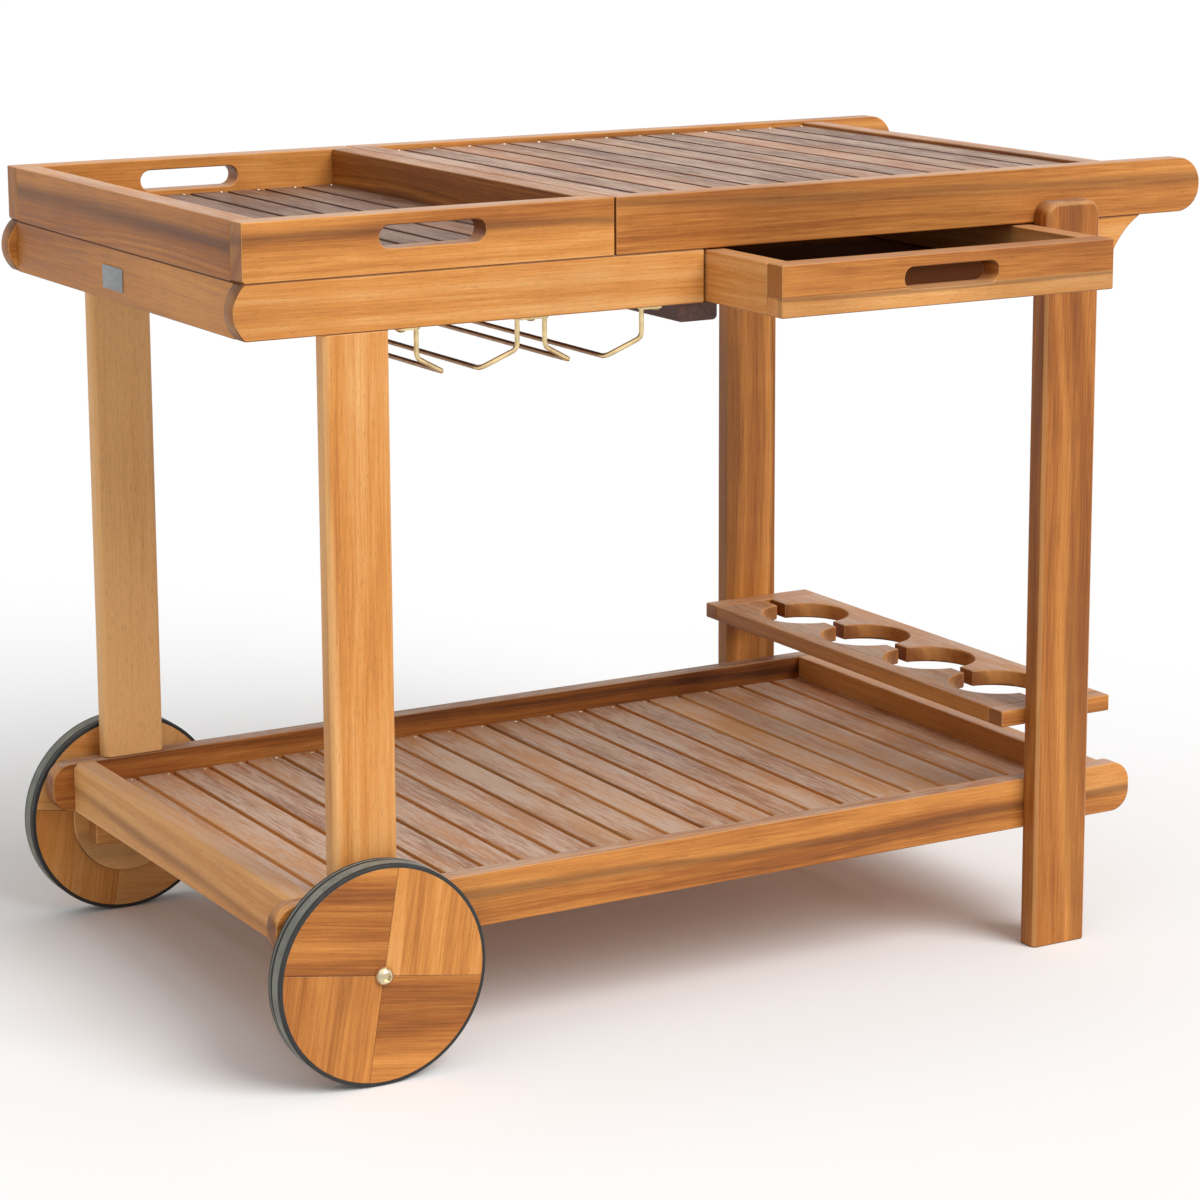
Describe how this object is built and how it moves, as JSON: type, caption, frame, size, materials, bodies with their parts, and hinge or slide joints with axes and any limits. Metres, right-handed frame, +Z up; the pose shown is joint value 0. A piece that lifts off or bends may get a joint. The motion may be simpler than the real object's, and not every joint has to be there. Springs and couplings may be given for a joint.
{
  "type": "serving cart",
  "caption": "Hardwood serving cart with lift-off slatted tray, pull-out drawer, slatted lower shelf, bottle rack, hanging glass rack, push handles and wheels at the tray end.",
  "frame": {"origin": "bottom centre of the cart's box on the floor, with the drawer standing open as pictured", "axes": "+X along the cart from the tray and wheels to the push handles, +Y from the drawer side to the back, +Z up"},
  "size_m": [1.14, 0.7886, 0.85],
  "materials": {
    "wood": "oiled hardwood, satin",
    "slat_wood": "oiled hardwood slats, satin",
    "dark_wood": "dark stained hardwood",
    "brass": "pale brass plating",
    "steel": "zinc plated",
    "tyre": "dull grey rubber"
  },
  "bodies": {
    "cart": {"apron_corbel_front": "wood", "apron_end": "wood", "apron_rail_back": "wood", "apron_rail_front": "wood", "axle_block_back": "wood", "axle_block_front": "wood", "axle_bolts": "brass", "axle_nuts": "steel", "cleat_screws": "steel", "drawer_runner_handle": "dark_wood", "drawer_runner_tray": "dark_wood", "drawer_wall_handle": "wood", "drawer_wall_tray": "wood", "glass_rails": "brass", "leg_back_handle": "wood", "leg_back_wheel": "wood", "leg_bolts": "steel", "leg_front_handle": "wood", "leg_front_wheel": "wood", "rack_board_handle_side": "wood", "rack_board_shelf_side": "wood", "rack_cleat_back": "wood", "rack_cleat_front": "wood", "shelf_battens": "wood", "shelf_cross_handle": "wood", "shelf_cross_wheel": "wood", "shelf_rail_back": "wood", "shelf_rail_front": "wood", "shelf_slats": "slat_wood", "top_battens": "wood", "top_cross_handle": "wood", "top_cross_tray": "wood", "top_rail_back": "wood", "top_rail_front": "wood", "top_slats": "slat_wood"},
    "tray": {"tray_battens": "wood", "tray_end_inner": "wood", "tray_end_outer": "wood", "tray_side_back": "wood", "tray_side_front": "wood", "tray_slats": "slat_wood"},
    "drawer": {"drawer_back": "wood", "drawer_bottom": "wood", "drawer_front": "wood", "drawer_side_handle": "wood", "drawer_side_tray": "wood"},
    "front_wheel": {"wheel_front_bush": "steel", "wheel_front_disc": "wood", "wheel_front_quarters": "wood", "wheel_front_tyre": "tyre"},
    "back_wheel": {"wheel_back_bush": "steel", "wheel_back_disc": "wood", "wheel_back_quarters": "wood", "wheel_back_tyre": "tyre"}
  },
  "joints": [
    {"name": "front_wheel_spin", "type": "hinge", "parent": "cart", "child": "front_wheel", "pos_m": [-0.443, -0.2771, 0.112], "axis": [0, 1, 0], "continuous": true},
    {"name": "back_wheel_spin", "type": "hinge", "parent": "cart", "child": "back_wheel", "pos_m": [-0.443, 0.3745, 0.112], "axis": [0, 1, 0], "continuous": true},
    {"name": "drawer_slide", "type": "slide", "parent": "cart", "child": "drawer", "axis": [0, -1, 0], "range_m": [-0.139, 0.2]},
    {"name": "tray_lift", "type": "slide", "parent": "cart", "child": "tray", "axis": [0, 0, 1], "range_m": [0, 0.25]}
  ]
}
